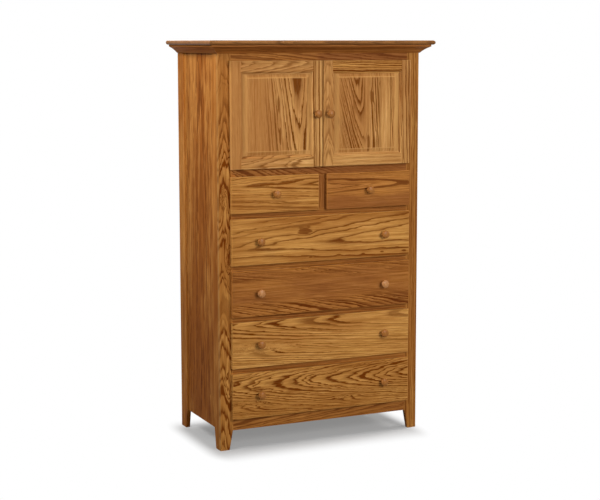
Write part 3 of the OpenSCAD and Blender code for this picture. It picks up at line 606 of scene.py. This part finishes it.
# Plywood pieces' axes and seeds
PLY_PIECES = {
    "runners_left": ("yxz", 3.3),
    "runners_right": ("yxz", 3.3),
    "centre_runner": ("yxz", 3.3),
    "rear_rails": ("xyz", 15.9),
    "kickers": ("xyz", 12.9),
    "cupboard_floor": ("xyz", 19.9),
    "cupboard_shelf": ("xyz", 19.9),
}
for node, seed in BOX_SEEDS.items():
    dress(node, pale_wood("maple_" + node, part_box(node), "xzy", *BOX_WOOD, seed=seed, walls=True))
for node, (axes, seed) in PLY_PIECES.items():
    dress(node, pale_wood("ply_" + node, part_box(node), axes, *PLY_WOOD, seed=seed))

# Hinges and shelf pins of brushed steel, and felt bumpers: darker and lighter colour, roughness and
# the like, then the noise's waves in a metre, what it does to the roughness and the height, and its seed
STEEL, STEEL_LIGHT, STEEL_ROUGH = "#b4b6b8", "#d2d3d4", 0.3
BRUSHED, BRUSH_ROUGH, BRUSH_BUMP, BRUSH_SEED = (80.0, 1600.0), 0.15, 0.00002, 2.0
FELT, FELT_LIGHT, FELT_ROUGH, FELT_SHEEN = "#cfc9ba", "#efece2", 0.95, 0.4
FUZZ, FUZZ_BUMP, FUZZ_SEED = (2200.0, 2200.0), 0.0002, 1.0


def steel():
    g = Graph(bpy.data.materials, "nickel_steel")
    x, y, z = g.place()
    brush = g.noise(g.spread(z, x, y, BRUSHED, BRUSH_SEED), 3.0)
    colour = g.mix(g.unit(brush), linear(STEEL), linear(STEEL_LIGHT))
    return g.finish(colour, g.add(STEEL_ROUGH, g.mul(brush, BRUSH_ROUGH)), brush, BRUSH_BUMP, Metallic=1.0)


def felt():
    g = Graph(bpy.data.materials, "pressed_felt")
    fuzz = g.noise(g.spread(*g.place(), FUZZ, FUZZ_SEED), 4.0, 0.7)
    colour = g.mix(g.unit(fuzz), linear(FELT), linear(FELT_LIGHT))
    return g.finish(colour, FELT_ROUGH, fuzz, FUZZ_BUMP, **{"Sheen Weight": FELT_SHEEN})


metal = steel()
for node in ("hinge_arms", "shelf_pins", "left_door_hinge_cups", "right_door_hinge_cups"):
    dress(node, metal)
dress("door_bumpers", felt())

# Eased edges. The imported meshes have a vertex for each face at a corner, so they are welded first.
EASED = ["front_stile_left", "front_stile_right", "top_rail", "door_rail", "drawer_rails", "bottom_rail",
         "drawer_divider", "side_stile_front_left", "side_stile_front_right", "side_stile_rear_left",
         "side_stile_rear_right", "side_panel_left", "side_panel_right", "cupboard_shelf"]
WELD_REACH, EASE_WIDTH, EASE_STEPS = 0.00001, 0.0008, 2
SHARP_ANGLE = math.radians(30)
for node in EASED:
    weld = NODES[node].modifiers.new("weld", "WELD")
    weld.merge_threshold = WELD_REACH
    ease = NODES[node].modifiers.new("ease", "BEVEL")
    ease.width = EASE_WIDTH
    ease.segments = EASE_STEPS
    ease.limit_method = "ANGLE"
    ease.angle_limit = SHARP_ANGLE
    ease.harden_normals = True

# Floor: a plain pale one that the camera sees brighter, and that turns into the white background.
# Light bounces off FLOOR_GREY, and the camera sees FLOOR_SEEN, a grey that makes a painted shadow
# pool round the piece on top of the floor's real shading.
FLOOR_SIZE = 14.0
FLOOR_GREY = (0.18, 0.18, 0.18, 1.0)
FLOOR_SEEN = (0.4, 0.398, 0.394, 1.0)
# The middle and half size of the place where the floor is seen grey, a painted shadow pool over its
# real shading, how far from it that is gone, and the share of white within it
SHADE_MIDDLE, SHADE_HALF = (-0.03, -0.03), (0.4525, 0.1885)
SHADE_FADE, SHADE_LIFT = (0.095, 0.21), 0.22


def camera_share(g):
    """1 for what the camera sees, also in a mirror or through glass."""
    path = g.node("ShaderNodeLightPath").outputs
    return g.most(g.most(path["Is Camera Ray"], path["Is Glossy Ray"]), path["Is Transmission Ray"])


def floor_material():
    g = Graph(bpy.data.materials, "pale_floor")
    plain = g.node("ShaderNodeBsdfDiffuse", {"Color": FLOOR_GREY}).outputs[0]
    bright = g.node("ShaderNodeBsdfDiffuse", {"Color": FLOOR_SEEN}).outputs[0]
    white = g.node("ShaderNodeEmission", {"Color": WHITE, "Strength": 1.0}).outputs[0]
    place = g.place()
    beyond = 0.0
    for axis, (middle, reach, length) in enumerate(zip(SHADE_MIDDLE, SHADE_HALF, SHADE_FADE)):
        off = g.math("ABSOLUTE", g.sub(place[axis], middle))
        over = g.mul(g.most(g.sub(off, reach), 0.0), 1.0 / length)
        beyond = g.add(beyond, g.mul(over, over))
    # Painted shadow: grey near the footprint, white further off
    fade = g.node("ShaderNodeMapRange", {"Value": g.math("SQRT", beyond), "To Min": SHADE_LIFT},
                  interpolation_type="SMOOTHSTEP").outputs[0]
    ground = g.node("ShaderNodeMixShader", {0: fade, 1: bright, 2: white}).outputs[0]
    chosen = g.node("ShaderNodeMixShader", {0: camera_share(g), 1: plain, 2: ground}).outputs[0]
    g.node("ShaderNodeOutputMaterial", {"Surface": chosen})
    return g.owner


half = FLOOR_SIZE / 2
corners = [(-half, -half, 0), (half, -half, 0), (half, half, 0), (-half, half, 0)]
floor_mesh = bpy.data.meshes.new("floor")
floor_mesh.from_pydata(corners, [], [(0, 1, 2, 3)])
floor_mesh.materials.append(floor_material())
floor = bpy.data.objects.new("floor", floor_mesh)
bpy.context.scene.collection.objects.link(floor)

# World: white to the eye, dimmer as a light
WORLD_LIGHT = 0.27
g = Graph(bpy.data.worlds, "studio")
dim = g.node("ShaderNodeBackground", {"Color": WHITE, "Strength": WORLD_LIGHT}).outputs[0]
full = g.node("ShaderNodeBackground", {"Color": WHITE, "Strength": 1.0}).outputs[0]
both = g.node("ShaderNodeMixShader", {0: camera_share(g), 1: dim, 2: full}).outputs[0]
g.node("ShaderNodeOutputWorld", {"Surface": both})
bpy.context.scene.world = g.owner

# Lamps: name, place, the point they face, size, watts and spread in degrees
MIDDLE = (0.0, 0.0, 0.9)
LAMPS = (
    ("key", (1.6, -5.0, 2.3), MIDDLE, 2.2, 176, 180),
    ("glint", (-2.6, -4.2, 3.2), MIDDLE, 0.8, 24, 180),
    ("left", (-2.2, -0.7, 3.1), (-0.48, 0.05, 1.5), 0.9, 23, 100),
    ("right", (3.4, 0.4, 2.3), (0.48, 0.05, 1.0), 1.0, 24, 100),
    ("overhead", (0.2, 0.5, 3.9), (0.0, 0.0, 0.0), 2.4, 62, 180),
    ("behind", (0.9, 4.6, 2.6), MIDDLE, 2.2, 95, 180),
)
for name, place, aim, size, power, spread in LAMPS:
    data = bpy.data.lights.new(name, "AREA")
    data.shape = "RECTANGLE"
    data.size = data.size_y = size
    data.spread = math.radians(spread)
    data.energy = power
    lamp = bpy.data.objects.new(name, data)
    lamp.location = place
    lamp.rotation_mode = "QUATERNION"
    lamp.rotation_quaternion = (Vector(aim) - Vector(place)).to_track_quat("-Z", "Y")
    bpy.context.scene.collection.objects.link(lamp)

# Camera: the photo's eye point and angle. The photo was taken level with a shifted lens; here most
# of that shift is a tilt, because the other views keep the shift.
EYE = (-2.7191, -5.9567, 1.7665)
# In degrees
LOOK_DOWN, LOOK_RIGHT = 7.46, 25.04
LENS, SENSOR = 87.23, 36.0
SHIFT_X, SHIFT_Y = -0.0221, -0.03
camera_data = bpy.data.cameras.new("camera")
camera_data.lens = LENS
camera_data.sensor_width = SENSOR
camera_data.shift_x = SHIFT_X
camera_data.shift_y = SHIFT_Y
camera_data.clip_start, camera_data.clip_end = 0.1, 100.0
camera = bpy.data.objects.new("camera", camera_data)
camera.location = EYE
camera.rotation_euler = (math.radians(90 - LOOK_DOWN), 0.0, math.radians(-LOOK_RIGHT))
bpy.context.scene.collection.objects.link(camera)
bpy.context.scene.camera = camera
bpy.context.scene.view_settings.view_transform = "Standard"
